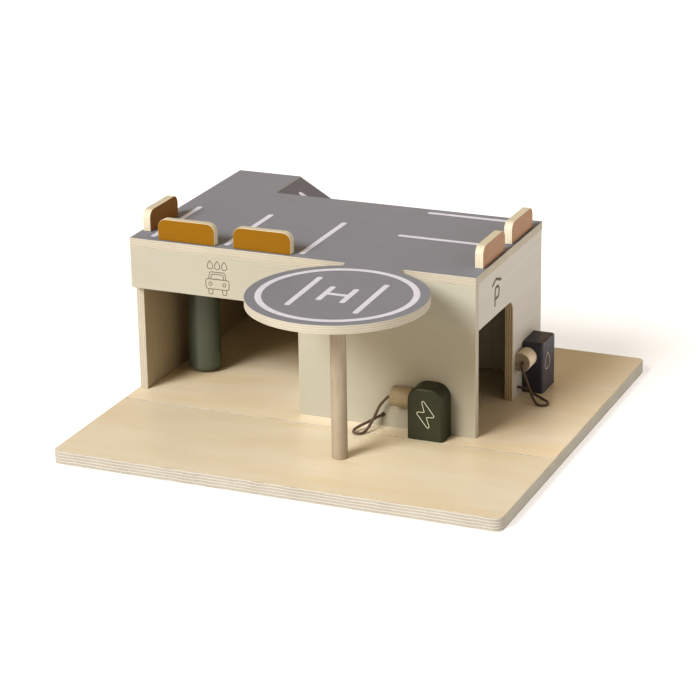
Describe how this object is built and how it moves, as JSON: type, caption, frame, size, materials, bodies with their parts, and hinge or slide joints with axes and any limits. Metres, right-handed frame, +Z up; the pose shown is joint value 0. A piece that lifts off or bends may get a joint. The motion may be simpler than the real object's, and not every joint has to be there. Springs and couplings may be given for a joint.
{
  "type": "toy parking garage",
  "caption": "Plywood toy parking garage with roof parking, helicopter pad on a post, back ramp, car-wash bay with a turning roller, and a charger and a fuel pump with corded plugs.",
  "frame": {"origin": "middle of the ground board's underside", "axes": "+X to the right seen from the front, +Y to the back, +Z up"},
  "size_m": [0.48, 0.4699, 0.208],
  "materials": {
    "birch_ply": "clear satin varnish",
    "wall_ply": "white-washed, satin",
    "roof_paint": "matt grey paint on plywood",
    "ochre_paint": "ochre paint on the outer face, bare plywood edges",
    "blush_paint": "blush paint on the outer face, bare plywood edges",
    "charger_paint": "dark green satin paint",
    "pump_paint": "charcoal satin paint",
    "roller_paint": "dark green satin paint",
    "beech": "bare beech, sanded",
    "cord": "round braided cord",
    "steel": "zinc plated"
  },
  "bodies": {
    "garage": {"base_front_board": "birch_ply", "base_back_board": "birch_ply", "base_dowels": "beech", "front_panel": "wall_ply", "left_wall": "wall_ply", "right_wall": "wall_ply", "partition_wall": "wall_ply", "back_wall": "wall_ply", "ramp_cheek": "wall_ply", "roof_deck": "roof_paint", "helipad_post": "beech", "ramp_board": "roof_paint", "front_left_bumper": "ochre_paint", "front_right_bumper": "ochre_paint", "left_bumper": "ochre_paint", "right_front_bumper": "blush_paint", "right_back_bumper": "blush_paint", "bumper_pegs": "beech", "roof_dowels": "beech", "ramp_dowels": "beech", "wall_screws": "steel", "block_screws": "steel", "charger_block": "charger_paint", "fuel_pump_block": "pump_paint", "block_magnets": "steel", "charger_cord": "cord", "fuel_cord": "cord", "cord_knots": "cord", "roller_axle": "beech", "roller_washers": "steel"},
    "roller": {"wash_roller": "roller_paint"},
    "charger_plug": {"charger_plug": "beech", "charger_plug_magnet": "steel"},
    "fuel_plug": {"fuel_plug": "beech", "fuel_plug_magnet": "steel"}
  },
  "joints": [
    {"name": "roller_spin", "type": "hinge", "parent": "garage", "child": "roller", "pos_m": [-0.1975, 0.035, 0.1], "axis": [0, 0, 1], "continuous": true},
    {"name": "charger_plug_pull", "type": "slide", "parent": "garage", "child": "charger_plug", "axis": [-1, 0, 0], "range_m": [0, 0.015], "deforming": ["charger_cord"]},
    {"name": "fuel_plug_pull", "type": "slide", "parent": "garage", "child": "fuel_plug", "axis": [0, -1, 0], "range_m": [0, 0.015], "deforming": ["fuel_cord"]}
  ]
}
